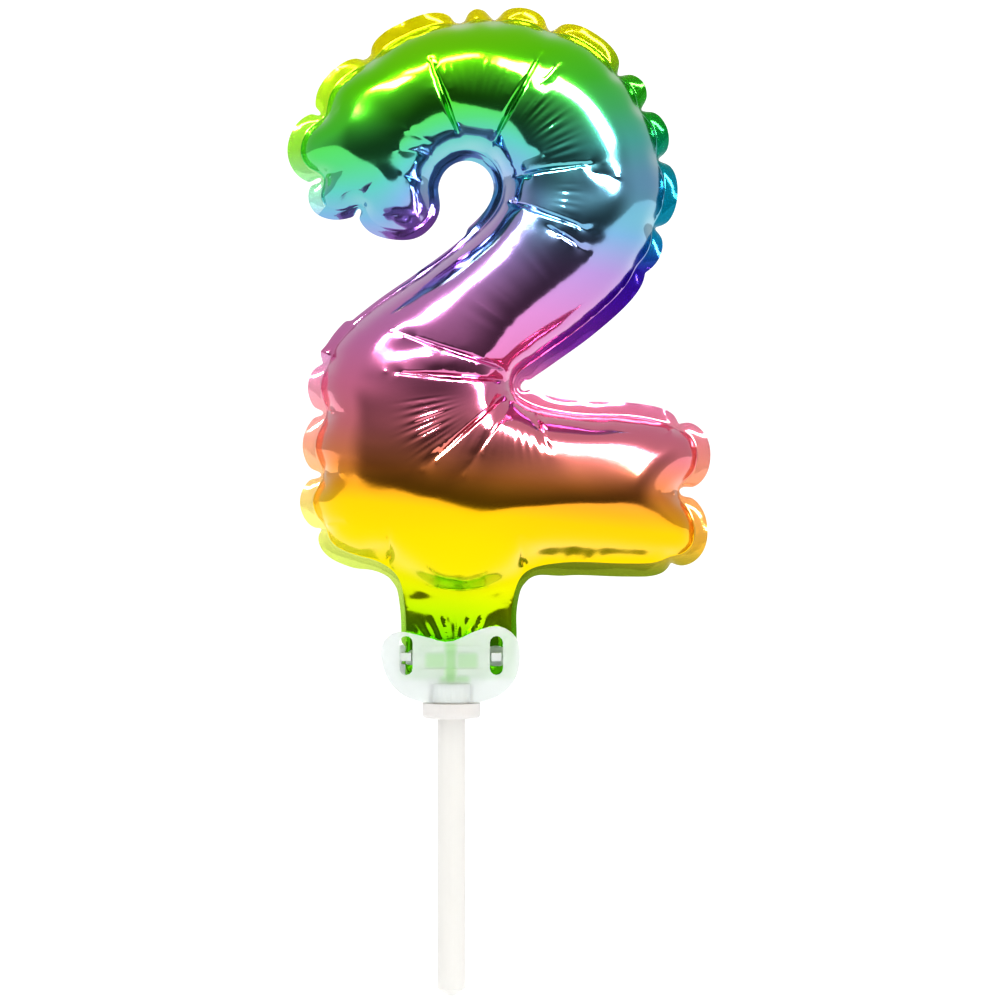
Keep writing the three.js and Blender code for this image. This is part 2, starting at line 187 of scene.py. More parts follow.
FOLD_GROWS = 5  # how fast it deepens from there
FOLD_ENDS = 0.6  # power of its run-out
FOLD_SHARE = 0.22  # how much of a fold's depth the film beside it is drawn in by
FOLD_WIDTH = 1.8  # that dies away over about this distance from the fold
FOLD_REACH = 8.0  # and ends this far from it
FOLD_STEP = 0.85  # space between a fold's points, as a share of the cloth's spacing
FOLD_HOLD = 0.45  # how firmly the springs hold a shallow fold; a deep one is held twice as firmly
DEEP_FOLD = 2.0  # a fold is deep from this depth on
LEAF = 0.30  # half width of a crease for each millimetre of its fold's depth
LEAF_SIDES = (1.2, -0.8)  # its two sides' shares of that
LEAF_POWER = 0.7  # lower is blunter at the ends
LEAF_LEAST = 0.4  # where it is narrower than this, the crease has no edges of its own
SINK = 0.38  # how deep the middle of a crease lies for each millimetre of its fold's depth

# Places where the film leans: x, z, half sizes of the place, slope along x, slope along z.
LEANS = (
    (24, 109, 26, 5.5, 0, 0.20),
    (-11, 101, 8, 8, 0, 0.12),
    (-22, 106, 5, 6, 0, -0.08),
    (-25, 100.5, 3.5, 3, 0, 0.25),
    (1, 97, 13, 8, 0, 0.11),
    (21.5, 157.5, 5, 6, 0.30, -0.25),
    (-20.5, 177.5, 4.5, 3.5, -0.30, 0),
    (-5.5, 127.5, 6, 3, 0.25, -0.35),
)
LEAN_FULL = 8.0  # the tube leans less where it is thinner than this

# Fans of fine ripples beside the folds: centre, near and far radius, first and last angle in degrees, number
# of ripples, height.
FANS = (
    (COUNTER, 15.5, 25.5, 12, 54, 10, 0.10),
    (COUNTER, 17.0, 26.0, 66, 104, 9, 0.05),
    ((12.5, 121.5), 12.0, 25.0, 186, 222, 9, 0.18),
    ((13.0, 128.0), 13.0, 23.0, 236, 292, 11, 0.05),
    ((1.0, 58.0), 13.0, 19.5, 58, 122, 8, 1.2),
    (COUNTER, 17.0, 24.0, -22, 2, 6, 0.05),
    ((45.0, 110.0), 37.0, 55.0, 124, 150, 5, 0.025),
)
RIPPLE_SPREAD = 0.28  # share of a fan's width that its ripples spread over
RIPPLE_ENDS = 0.12  # and share of its angle where they grow and fade
RIPPLE_FULL = 6.0  # ripples are lower where the tube is thinner than this
SPLITS = 2  # how often the cloth's triangles are split into four
ROUNDS = (2, 5)  # rounds of evening out before the first split and after each
CHUNK = 2000  # points handled at a time, to save memory


# ---- Curves and distances in the plane ----
def round_curve(points, steps):
    """A closed curve through the points; their first two values set its pace."""
    count, out = len(points), []
    for i in range(count):
        p = [points[i - 1], points[i], points[(i + 1) % count], points[(i + 2) % count]]
        t = [0.0]
        for a, b in zip(p, p[1:]):
            t.append(t[-1] + np.linalg.norm(b[:2] - a[:2]) ** 0.5)
        for u in np.linspace(t[1], t[2], steps, endpoint=False):
            a = [((t[k + 1] - u) * p[k] + (u - t[k]) * p[k + 1]) / (t[k + 1] - t[k]) for k in range(3)]
            b = [((t[k + 2] - u) * a[k] + (u - t[k]) * a[k + 1]) / (t[k + 2] - t[k]) for k in range(2)]
            out.append(((t[2] - u) * b[0] + (u - t[1]) * b[1]) / (t[2] - t[1]))
    return np.array(out)


def smooth_ring(values, times):
    """Values round a closed ring, each drawn towards its two neighbours a number of times."""
    for _ in range(times):
        values = (np.roll(values, 1, axis=0) + 2 * values + np.roll(values, -1, axis=0)) / 4
    return values


def outward(ring):
    """The direction straight out of an anticlockwise ring at each of its points."""
    t = np.roll(ring, -1, axis=0) - np.roll(ring, 1, axis=0)
    t /= np.linalg.norm(t, axis=1)[:, None] + 1e-12
    return np.stack([t[:, 1], -t[:, 0]], 1)


def inside(ring, points):
    x, y = points[:, 0], points[:, 1]
    hit = np.zeros(len(points), bool)
    for (ax, ay), (bx, by) in zip(ring, np.roll(ring, 1, axis=0)):
        hit ^= ((ay > y) != (by > y)) & (x < (bx - ax) * (y - ay) / (by - ay + 1e-12) + ax)
    return hit


def reach(chain, points, closed=True):
    """Distance of each point to a chain of straight pieces, and the nearest place's share of its length."""
    a = chain if closed else chain[:-1]
    b = np.roll(chain, -1, axis=0) if closed else chain[1:]
    best, along, run = np.full(len(points), 1e9), np.zeros(len(points)), 0.0
    for p, q in zip(a, b):
        d = q - p
        length = np.linalg.norm(d)
        t = np.clip(((points - p) @ d) / length**2, 0, 1)
        away = np.linalg.norm(points - (p + t[:, None] * d), axis=1)
        near = away < best
        best[near] = away[near]
        along[near] = run + t[near] * length
        run += length
    return best, along / run


def ease(x, low, high):
    """Goes smoothly from 0 to 1 as x goes from low to high."""
    t = np.clip((x - low) / (high - low), 0, 1)
    return t * t * (3 - 2 * t)


# ---- The foil: flat cut, inflation, creases ----
def seam_rings():
    """The weld line flat and blown up, evenly spaced, with how far each place is drawn in and turned back."""
    fine = round_curve(np.array(SEAM, float), 12)
    blown = fine[:, :2]
    flat = blown + SLACK * smooth_ring(fine[:, 2:], 6)
    closed = np.vstack([flat, flat[:1]])
    run = np.concatenate([[0], np.cumsum(np.linalg.norm(np.diff(closed, axis=0), axis=1))])
    count = int(round(run[-1] / SPACING))
    at = np.arange(count) * run[-1] / count

    def even(values):
        return np.stack([np.interp(at, run, np.append(c, c[0])) for c in values.T], 1)

    flat, blown = even(flat), even(blown)
    step = np.linalg.norm(np.roll(blown, -1, axis=0) - blown, axis=1)
    place = np.concatenate([[0], np.cumsum(step)])[:-1]
    whole = step.sum()
    pull, turn = np.zeros(count), np.zeros(count)
    for x, z, half, depth, back in PUCKERS:
        centre = place[np.argmin(np.hypot(blown[:, 0] - x, blown[:, 1] - z))]
        gap = np.abs((place - centre + whole / 2) % whole - whole / 2)
        k = np.exp(-np.maximum(gap - half, 0) / PUCKER_REACH)
        pull, turn = np.maximum(pull, depth * k), np.maximum(turn, back * k)
    blown = blown - outward(smooth_ring(blown, 4)) * pull[:, None]
    return flat, blown, pull, turn


def blended(points, anchors, values):
    """The anchors' values at each point: the nearer an anchor, the more it counts."""
    out = np.empty_like(points)
    for i in range(0, len(points), CHUNK):
        away = ((points[i : i + CHUNK, None] - anchors[None]) ** 2).sum(2)
        w = 1 / (away + 1e-6) ** 1.5
        out[i : i + CHUNK] = (w @ values) / w.sum(1)[:, None]
    return out


def fold_points(fold):
    """Points along a fold's line, and how far along it each one is, from 0 to 1."""
    (x0, z0), (x1, z1), _ = fold
    length = math.hypot(x1 - x0, z1 - z0)
    t = np.linspace(0, 1, max(3, int(round(length / (SPACING * FOLD_STEP)))))
    return np.stack([x0 + (x1 - x0) * t, z0 + (z1 - z0) * t], 1), t


def fold_depth(t, depth):
    """How deep a fold is along its length: shallower at the weld, and running out at its end."""
    return depth * np.clip(t * FOLD_GROWS + FOLD_START, 0, 1) * np.clip(1 - t, 0, 1) ** FOLD_ENDS


def leaf_edges(fold):
    """The two edges of a fold's crease, which is a narrow leaf."""
    pts, t = fold_points(fold)
    along = pts[-1] - pts[0]
    across = np.array([-along[1], along[0]]) / np.linalg.norm(along)
    out = []
    for side in LEAF_SIDES:
        width = LEAF * fold[2] * side * (4 * t * (1 - t)) ** LEAF_POWER
        wide = np.abs(width) > LEAF_LEAST
        if wide.sum() > 2:
            out.append(pts[wide] + width[wide, None] * across)
    return out


def kept_lines(flat, blown):
    """The lines that the triangles keep to: the weld, the folds, their creases' edges and the peg holes."""
    known_flat, known_blown, deep = [flat], [blown], [np.zeros(len(flat))]
    edges = [(i, (i + 1) % len(flat)) for i in range(len(flat))]
    folds = []

    def count():
        return sum(len(known) for known in known_flat)

    def add(points, depth):
        first = count()
        known_blown.append(points)
        known_flat.append(points + blended(points, blown, flat - blown))
        deep.append(depth)
        return list(range(first, first + len(points)))

    for fold in FOLDS:
        points, t = fold_points(fold)
        lines = [(points, fold_depth(t, fold[2]))]
        lines += [(line, np.zeros(len(line))) for line in leaf_edges(fold)]
        for points, depth in lines:
            ids = add(points, depth)
            folds.append(np.array(ids))
            edges += zip(ids, ids[1:])
    fold_end = count()
    turns = np.arange(12) * math.tau / 12
    for x, z in PEG_HOLES:
        points = np.stack([x + PEG_HOLE_R * np.cos(turns), z + PEG_HOLE_R * np.sin(turns)], 1)
        ids = add(points, np.zeros(len(points)))
        edges += zip(ids, ids[1:] + ids[:1])
    return {
        "flat": np.vstack(known_flat),
        "blown": np.vstack(known_blown),
        "deep": np.concatenate(deep),
        "edges": edges,
        "folds": folds,
        "fold_end": fold_end,
        "holes": known_flat[-len(PEG_HOLES) :],
    }


def loose_points(flat, lines):
    """A triangular grid inside the flat cut, a little shaken and clear of the kept lines."""
    low, high = flat.min(0), flat.max(0)
    rows, z = [], low[1]
    while z < high[1]:
        x = np.arange(low[0] + (0.5 * SPACING if len(rows) % 2 else 0), high[0], SPACING)
        rows.append(np.stack([x, np.full(len(x), z)], 1))
        z += SPACING * math.sqrt(3) / 2
    grid = np.vstack(rows)
    grid += np.random.default_rng(3).uniform(-GRID_SHAKE, GRID_SHAKE, grid.shape) * SPACING
    grid = grid[inside(flat, grid) & (reach(flat, grid)[0] > EDGE_CLEARANCE * SPACING)]
    clear = np.ones(len(grid), bool)
    for i in range(0, len(grid), CHUNK):
        gap = np.linalg.norm(grid[i : i + CHUNK, None] - lines[None], axis=2).min(1)
        clear[i : i + CHUNK] = gap > LINE_CLEARANCE * SPACING
    return grid[clear]


def cut_pattern():
    """The flat cut as one triangulated layer, with where each vertex goes when it is blown up."""
    weld, blown, pull, turn = seam_rings()
    kept = kept_lines(weld, blown)
    points = np.vstack([kept["flat"], loose_points(weld, kept["flat"][len(weld) :])])
    made = delaunay_2d_cdt([Vector(p) for p in points], kept["edges"], [], 0, 1e-6)
    flat = np.array([tuple(v) for v in made[0]])
    tris = np.array(made[2])
    middles = flat[tris].mean(1)
    keep = inside(weld, middles)
    for ring in kept["holes"]:
        keep &= ~inside(ring, middles)
    tris = tris[keep]
    a = flat[tris[:, 1]] - flat[tris[:, 0]]
    b = flat[tris[:, 2]] - flat[tris[:, 0]]
    turned = a[:, 0] * b[:, 1] - a[:, 1] * b[:, 0] < 0
    tris[turned] = tris[turned][:, ::-1]
    known_shift = kept["blown"] - kept["flat"]
    shift = blended(flat, kept["flat"], known_shift)
    shift[: len(known_shift)] = known_shift
    return {
        "flat": flat,
        "blown": flat + shift,
        "tris": tris,
        "rim": len(weld),
        "fold_end": kept["fold_end"],
        "folds": kept["folds"],
        "deep": np.concatenate([kept["deep"], np.zeros(len(flat) - len(kept["deep"]))]),
        "pull": pull,
        "turn": turn,
    }


def membrane(points, tris, fixed):
    """The height u with an even load on it, held at zero at the fixed vertices: sqrt(2u) is a round tube."""
    count = len(points)
    weight, load, ends = [], np.zeros(count), []
    for i in range(3):
        a, b, c = tris[:, i], tris[:, (i + 1) % 3], tris[:, (i + 2) % 3]
        u, v = points[a] - points[c], points[b] - points[c]
        area = np.abs(u[:, 0] * v[:, 1] - u[:, 1] * v[:, 0])
        weight.append(np.clip((u * v).sum(1) / np.maximum(area, 1e-9) / 2, 0.01, 10))
        ends.append((a, b))
        load += np.bincount(a, area / 6, count)
    weight = np.concatenate(weight)
    a = np.concatenate([e[0] for e in ends])
    b = np.concatenate([e[1] for e in ends])
    free = ~fixed

    def apply(x):
        d = weight * (x[a] - x[b])
        return (np.bincount(a, d, count) - np.bincount(b, d, count)) * free

    x = np.zeros(count)
    r = load * free
    p, rr = r.copy(), (r * r).sum()
    for _ in range(600):
        ap = apply(p)
        step = rr / (p @ ap)
        x += step * p
        r -= step * ap
        new = (r * r).sum()
        if new < 1e-12:
            break
        p = r + p * (new / rr)
        rr = new
    return x


def tube_height(cut):
    """How far each vertex stands off the middle plane when the balloon is full, and how full it is there."""
    target = cut["blown"]
    fixed = np.zeros(len(target), bool)
    fixed[: cut["rim"]] = True
    middle, lowest, steep = BULGE_END
    fixed |= target[:, 1] < lowest + np.minimum(steep * (target[:, 0] - middle) ** 2, BULGE_RISE)
    tall = np.sqrt(2 * np.maximum(membrane(target, cut["tris"], fixed), 1e-9))
    tall = (tall**-CAP_POWER + TUBE_CAP**-CAP_POWER) ** (-1 / CAP_POWER)
    for fold in FOLDS:
        pts, _ = fold_points(fold)
        away, t = reach(pts, target, closed=False)
        tall -= FOLD_SHARE * fold_depth(t, fold[2]) * np.exp(-away / FOLD_WIDTH) * (away < FOLD_REACH)
    for x, z, half_x, half_z, slope_x, slope_z in LEANS:
        dx, dz = target[:, 0] - x, target[:, 1] - z
        near = np.exp(-((dx / half_x) ** 2) - (dz / half_z) ** 2) * np.clip(tall / LEAN_FULL, 0, 1)
        tall += (slope_x * dx + slope_z * dz) * near
    d = reach(target[: cut["rim"]], target)[0]
    full = ease(target[:, 1], NECK_HELD, NECK_TOP)
    y = np.maximum(tall, np.minimum(d * NECK_SLOPE, NECK_HALF))
    x, z, half_x, half_z, height = VALVE_BULGE
    y += height * np.exp(-(((target[:, 0] - x) / half_x) ** 2) - ((target[:, 1] - z) / half_z) ** 2)
    y[: cut["rim"]] = 0
    return y, full


def inflate(cut):
    """Blows the two welded layers up with Blender's cloth and gives every vertex's place in millimetres."""
    rim, count = cut["rim"], len(cut["flat"])
    inner = count - rim
    y, full = tube_height(cut)
    back_of = np.arange(count)
    back_of[rim:] += inner
    total = rim + 2 * inner
    goal, flat = np.zeros((total, 3)), np.zeros((total, 3))
    for rows, sign in ((np.arange(count), -1), (back_of, 1)):
        goal[rows, 0], goal[rows, 2] = cut["blown"].T
        goal[rows, 1] = sign * y
        flat[rows, 0], flat[rows, 2] = cut["flat"].T
        flat[rows, 1] = sign * np.minimum(y, FLAT_HALF)
    goal[:rim, 1] = PUCKER_BACK * cut["pull"]
    faces = np.vstack([cut["tris"], back_of[cut["tris"]][:, ::-1]])
    creased = np.zeros(count)
    fold_rows = slice(rim, cut["fold_end"])
    creased[fold_rows] = FOLD_HOLD + FOLD_HOLD * np.clip(cut["deep"][fold_rows] / DEEP_FOLD, 0, 1)
    press, hold = np.zeros(total), np.zeros(total)
    hold[:rim] = 1.0
    for rows in (slice(count), back_of):
        press[rows] = full
        hold[rows] = np.maximum(hold[rows], creased)
    hold[goal[:, 2] < CLAMPED] = 1.0
    blown = blow_up(flat, goal, faces, press, hold)
    return blown + ROUNDNESS * (goal - blown), back_of


def blow_up(flat, goal, faces, press, hold):
    """Blender's cloth with air pressure inside, drawn by springs from the flat cut towards the goal."""
    unit = 10 * MM  # the cloth is ten times the real size meanwhile
    mesh = bpy.data.meshes.new("foil_cloth")
    mesh.from_pydata((flat * unit).tolist(), [], faces.tolist())
    cloth = bpy.data.objects.new("foil_cloth", mesh)
    bpy.context.scene.collection.objects.link(cloth)
    cloth.shape_key_add(name="Basis")
    key = cloth.shape_key_add(name="blown")
    key.data.foreach_set("co", (goal * unit).ravel())
    for value, at in ((0, 1), (1, FILL_FRAMES)):
        key.value = value
        key.keyframe_insert("value", frame=at)
    for name, weights in (("press", press), ("hold", hold)):
        group = cloth.vertex_groups.new(name=name)
        for i in np.nonzero(weights)[0]:
            group.add([int(i)], float(weights[i]), "REPLACE")
    modifier = cloth.modifiers.new("cloth", "CLOTH")
    s = modifier.settings
    s.quality = 8
    s.mass = 0.1
    s.tension_stiffness = s.compression_stiffness = 300
    s.shear_stiffness = 90
    s.bending_model = "LINEAR"
    s.bending_stiffness = 1
    s.tension_damping = s.compression_damping = s.shear_damping = 5
    s.bending_damping = 0.5
    s.air_damping = 2
    s.use_pressure = True
    s.uniform_pressure_force = 200
    s.vertex_group_pressure = "press"
    s.vertex_group_mass = "hold"
    s.pin_stiffness = 30
    s.effector_weights.gravity = 0
    modifier.collision_settings.use_collision = False
    modifier.point_cache.frame_start, modifier.point_cache.frame_end = 1, CLOTH_FRAMES
    for f in range(1, CLOTH_FRAMES + 1):
        bpy.context.scene.frame_set(f)
    done = cloth.evaluated_get(bpy.context.evaluated_depsgraph_get()).to_mesh()
    out = np.empty(len(flat) * 3, np.float32)
    done.vertices.foreach_get("co", out)
    bpy.context.scene.frame_set(1)
    bpy.data.objects.remove(cloth)
    return out.reshape(-1, 3) / unit


def sides_of(faces):
    """The three sides of each triangle, as pairs of vertices with the lower one first."""
    return np.sort(np.vstack([faces[:, [0, 1]], faces[:, [1, 2]], faces[:, [2, 0]]]), axis=1)


def split_once(points, faces):
    """Each triangle becomes four. Also gives a function for the new vertex between two old neighbours."""
    unique, where = np.unique(sides_of(faces), axis=0, return_inverse=True)
    ab, bc, ca = len(points) + where.reshape(3, -1)
    first, big = len(points), 10**7
    code = unique[:, 0] * big + unique[:, 1]
    a, b, c = faces.T
    faces = np.vstack([np.stack(t, 1) for t in ((a, ab, ca), (ab, b, bc), (ca, bc, c), (ab, bc, ca))])

    def between(p, q):
        return first + np.searchsorted(code, np.minimum(p, q) * big + np.maximum(p, q))

    return np.vstack([points, points[unique].mean(1)]), faces, between


def relax(points, faces, chain, fixed, times):
    """Evens the surface out. A vertex on a chain moves only along its chain."""
    edges = np.unique(sides_of(faces), axis=0)
    on_chain = np.zeros(len(points), bool)
    on_chain[chain.ravel()] = True
    source = np.concatenate([edges[:, 0], edges[:, 1]])
    other = np.concatenate([edges[:, 1], edges[:, 0]])
    use = ~on_chain[source]
    source = np.concatenate([source[use], chain[:, 0], chain[:, 1]])
    other = np.concatenate([other[use], chain[:, 1], chain[:, 0]])
    number = np.bincount(source, minlength=len(points)).astype(float)
    ends = on_chain & (number < 2)
    move = np.where(fixed | ends, 0.0, 0.5)[:, None]
    for _ in range(times):
        mean = np.stack([np.bincount(source, points[other, k], len(points)) for k in range(3)], 1)
        mean /= np.maximum(number, 1)[:, None]
        points = points + move * (mean - points)
    return points


def mesh_object(name, points, faces, material_of, materials):
    mesh = bpy.data.meshes.new(name)
    mesh.from_pydata((points * MM).tolist(), [], faces.tolist())
    mesh.polygons.foreach_set("use_smooth", np.ones(len(mesh.polygons), bool))
    for m in materials:
        mesh.materials.append(m)
    mesh.polygons.foreach_set("material_index", material_of.astype(np.int32))
    mesh.update()
    obj = bpy.data.objects.new(name, mesh)
    bpy.context.scene.collection.objects.link(obj)
    return obj


def ripples(points):
    """Height of the fine ripples at each point, which only lie on the chamber."""
    out = np.zeros(len(points))
    rng = np.random.default_rng(11)
    for (cx, cz), near, far, first, last, number, height in FANS:
        x, z = points[:, 0] - cx, points[:, 2] - cz
        r, a = np.hypot(x, z), np.degrees(np.arctan2(z, x))
        a = (a - first) % 360
        u = a / (last - first)
        strength = rng.uniform(0.4, 1.0, number + 2)
        offset = rng.uniform(-0.25, 0.25, number + 2)
        k = u * number
        i = np.clip(k.astype(int), 0, number)
        wave = np.cos(math.tau * (k + offset[i])) * strength[i]
        middle = near + (far - near) * (0.5 + 0.25 * offset[i])
        window = np.exp(-(((r - middle) / ((far - near) * RIPPLE_SPREAD)) ** 2)) * ease(u, 0, RIPPLE_ENDS)
        window *= 1 - ease(u, 1 - RIPPLE_ENDS, 1)
        out += np.where(u <= 1, height * wave * window, 0)
    return out


def normals_of(points, faces):
    """The surface's outward direction at each vertex."""
    a, b, c = points[faces[:, 0]], points[faces[:, 1]], points[faces[:, 2]]
    n = np.cross(b - a, c - a)
    out = np.stack(
        [sum(np.bincount(faces[:, i], n[:, k], len(points)) for i in range(3)) for k in range(3)], 1
    )
    return out / (np.linalg.norm(out, axis=1)[:, None] + 1e-12)


def rim_strip(ring, normal, turn, sign):
    """The weld outside the chamber: a strip that leans back a little, and turns back where it puckers."""
    count = len(ring)
    normal = smooth_ring(normal, 2)
    tangent = np.roll(ring[:, [0, 2]], -1, axis=0) - np.roll(ring[:, [0, 2]], 1, axis=0)
    heading = np.arctan2(tangent[:, 1], tangent[:, 0])
    bend = (np.roll(heading, -1) - np.roll(heading, 1) + math.pi) % math.tau - math.pi
    bend = smooth_ring(bend / np.maximum(np.linalg.norm(tangent, axis=1), 1e-6), 6)
    width = np.where(bend < -1e-3, np.minimum(RIM, RIM_BEND / np.maximum(-bend, 1e-3)), RIM)
    x, z = ring[:, 0], ring[:, 2]
    right, bottom, top = NARROW_EDGE
    narrow = (z > bottom) & (z < top) & (x < right)
    width = np.where(narrow, np.minimum(width, NECK_RIM), width)
    beside = np.maximum(ease(z, *RIM_WIDENS), ease(np.abs(x - NECK_X), *FILLET))
    width = np.minimum(width, NECK_RIM + (RIM - NECK_RIM) * beside)
    width = smooth_ring(width, 4)
    lean = smooth_ring(np.where(clear_rim(ring) & (z > RIM_LIES), CLEAR_TURN, METAL_TURN), 30)
    angle = np.maximum(smooth_ring(turn, 1) * PUCKER_TURN, lean)
    rng = np.random.default_rng(5)
    wave = smooth_ring(rng.normal(0, 1, count), 40)
    wave /= np.abs(wave).max()
    rows = [ring + [0, sign * SEAM_GAP, 0]]
    for k in range(1, RIM_ROWS + 1):
        share = k / RIM_ROWS
        out = width * share
        row = ring.copy()
        row[:, 0] += normal[:, 0] * out * np.cos(angle)
        row[:, 2] += normal[:, 1] * out * np.cos(angle)
        curl = RIM_CURL * np.sin(math.pi * share) * sign + wave * RIM_WAVE * share**2
        row[:, 1] += out * np.sin(angle) + sign * SEAM_GAP * (1 - RIM_CLOSES * share) + curl
        rows.append(row)
    return np.vstack(rows)


def clear_rim(ring):
    """True where the rim has no metal layer: all but round the counter and along the long inner edge."""
    x, z = ring[:, 0], ring[:, 2]
    left, right, bottom, top = INNER_EDGE
    inner_edge = (z > bottom) & (z < top) & (x < right) & (x > left)
    return ~((np.hypot(x - COUNTER[0], z - COUNTER[1]) < COUNTER_RIM) | inner_edge)


def foil_piece(name, cut, blown, rows, sign, materials):
    """One printed film: its half of the chamber and its half of the weld."""
    rim = cut["rim"]
    points = blown[rows].copy()
    faces = cut["tris"] if sign < 0 else cut["tris"][:, ::-1]
    ring, folds = np.arange(rim), cut["folds"]

    def chains():
        parts = [np.stack([line[:-1], line[1:]], 1) for line in folds]
        return np.vstack([*parts, np.stack([ring, np.roll(ring, -1)], 1)])

    on_rim = np.zeros(len(points), bool)
    on_rim[:rim] = True
    points = relax(points, faces, chains(), on_rim, ROUNDS[0])
    points -= normals_of(points, faces) * SINK * cut["deep"][:, None]
    turn = cut["turn"]
    for _ in range(SPLITS):
        points, faces, between = split_once(points, faces)
        folds = [np.append(np.stack([f[:-1], between(f[:-1], f[1:])], 1).ravel(), f[-1]) for f in folds]
        ring = np.stack([ring, between(ring, np.roll(ring, -1))], 1).ravel()
        turn = np.stack([turn, (turn + np.roll(turn, -1)) / 2], 1).ravel()
        points = relax(points, faces, chains(), np.zeros(len(points), bool), ROUNDS[1])
    points[:, 1] += sign * ripples(points) * np.clip(np.abs(points[:, 1]) / RIPPLE_FULL, 0, 1)
    normal = outward(smooth_ring(points[ring][:, [0, 2]], 10))
    strip = rim_strip(points[ring], normal, turn, sign)
    count, base = len(ring), len(points)
    points[ring] = strip[:count]
    points = np.vstack([points, strip[count:]])
    ids = [ring] + [base + k * count + np.arange(count) for k in range(RIM_ROWS)]
    quads = []
    for a, b in zip(ids, ids[1:]):
        a2, b2 = np.roll(a, -1), np.roll(b, -1)
        quads += [np.stack([a, b, b2], 1), np.stack([a, b2, a2], 1)]
    rim_faces = np.vstack(quads)
    if sign > 0:
        rim_faces = rim_faces[:, ::-1]
    clear = clear_rim(points[ring]).astype(int)
    material_of = np.concatenate([np.zeros(len(faces)), np.tile(clear, 2 * RIM_ROWS)])
    return mesh_object(name, points, np.vstack([faces, rim_faces]), material_of, materials)


# ---- Materials ----
def material(name, **values):
    """Makes a material, with _ for a space in its values' names, and gives its node tree and shader too."""
    m = bpy.data.materials.new(name)
    m.use_nodes = True
    shader = m.node_tree.nodes["Principled BSDF"]
    for key, value in values.items():
        shader.inputs[key.replace("_", " ")].default_value = value
    return m, m.node_tree, shader


def maths(tree, operation, *values):
    """A math node fed by numbers or sockets."""
    made = tree.nodes.new("ShaderNodeMath")
    made.operation = operation
    for socket, value in zip(made.inputs, values):
        if isinstance(value, (int, float)):
            socket.default_value = value
        else:
            tree.links.new(value, socket)
    return made.outputs[0]


def fade(tree, value, low, high, first=0, last=1):
    """Goes smoothly from first to last as the value goes from low to high."""
    made = tree.nodes.new("ShaderNodeMapRange")
    made.interpolation_type = "SMOOTHSTEP"
    for socket, number in (("From Min", low), ("From Max", high), ("To Min", first), ("To Max", last)):
        made.inputs[socket].default_value = number
    tree.links.new(value, made.inputs["Value"])
    return made.outputs["Result"]


def fade_mm(tree, value, low, high, first=0, last=1):
    """The same for a length, with low and high in millimetres."""
    return fade(tree, value, low * MM, high * MM, first, last)


def object_place(tree):
    """The socket for a place in the part's own frame, in metres."""
    return tree.nodes.new("ShaderNodeTexCoord").outputs["Object"]


def x_and_z(tree):
    split = tree.nodes.new("ShaderNodeSeparateXYZ")
    tree.links.new(object_place(tree), split.inputs[0])
    return split.outputs["X"], split.outputs["Z"]


def noise(tree, place, scale, detail=2):
    made = tree.nodes.new("ShaderNodeTexNoise")
    made.inputs["Scale"].default_value = scale
    made.inputs["Detail"].default_value = detail
    tree.links.new(place, made.inputs["Vector"])
    return made.outputs["Fac"]


def faint_bump(tree, shader, height):
    made = tree.nodes.new("ShaderNodeBump")
    made.inputs["Strength"].default_value = 0.06
    made.inputs["Distance"].default_value = 0.1 * MM
    tree.links.new(height, made.inputs["Height"])
    tree.links.new(made.outputs["Normal"], shader.inputs["Normal"])


def mixed(tree, factor, first, second):
    """A colour between two colours, each a socket or three numbers."""
    mix = tree.nodes.new("ShaderNodeMix")
    mix.data_type = "RGBA"
    tree.links.new(factor, mix.inputs["Factor"])
    sockets = [socket for socket in mix.inputs if socket.type == "RGBA"]
    for socket, colour in zip(sockets, (first, second)):
        if isinstance(colour, tuple):
            socket.default_value = (*colour, 1)
        else:
            tree.links.new(colour, socket)
    return next(socket for socket in mix.outputs if socket.type == "RGBA")


def height_colours(tree, stops, head_lean):
    """A colour ramp along the balloon's height; each stop is a height in millimetres and a linear colour."""
    x, z = x_and_z(tree)
    tip = fade_mm(tree, z, *TIP_BOTTOM, 0, TIP_SHIFT * MM)
    top = fade_mm(tree, z, *TIP_TOP, 1, 0)
    left = fade_mm(tree, x, *TIP_LEFT)
    right = fade_mm(tree, x, *TIP_RIGHT, 1, 0)
    for edge in (top, left, right):
        tip = maths(tree, "MULTIPLY", tip, edge)
    dx, dz = (maths(tree, "SUBTRACT", value, middle * MM) for value, middle in zip((x, z), COUNTER))
    away = maths(tree, "SQRT", maths(tree, "MULTIPLY_ADD", dx, dx, maths(tree, "MULTIPLY", dz, dz)))
    ring = fade_mm(tree, away, *COUNTER_FADE, COUNTER_SHIFT * MM, 0)
    height = maths(tree, "MULTIPLY_ADD", x, fade_mm(tree, z, *HEAD_START, BODY_LEAN, head_lean), z)
    height = maths(tree, "ADD", maths(tree, "ADD", height, tip), ring)
    low, high = stops[0][0], stops[-1][0]
    scale = tree.nodes.new("ShaderNodeMapRange")
    scale.inputs["From Min"].default_value = low * MM
    scale.inputs["From Max"].default_value = high * MM
    ramp = tree.nodes.new("ShaderNodeValToRGB")
    tree.links.new(height, scale.inputs["Value"])
    tree.links.new(scale.outputs["Result"], ramp.inputs["Fac"])
    parts = ramp.color_ramp.elements
    for stop, colour in stops[1:-1]:
        parts.new((stop - low) / (high - low)).color = (*colour, 1)
    parts[0].color = (*stops[0][1], 1)
    parts[-1].color = (*stops[-1][1], 1)
    return ramp.outputs["Color"]


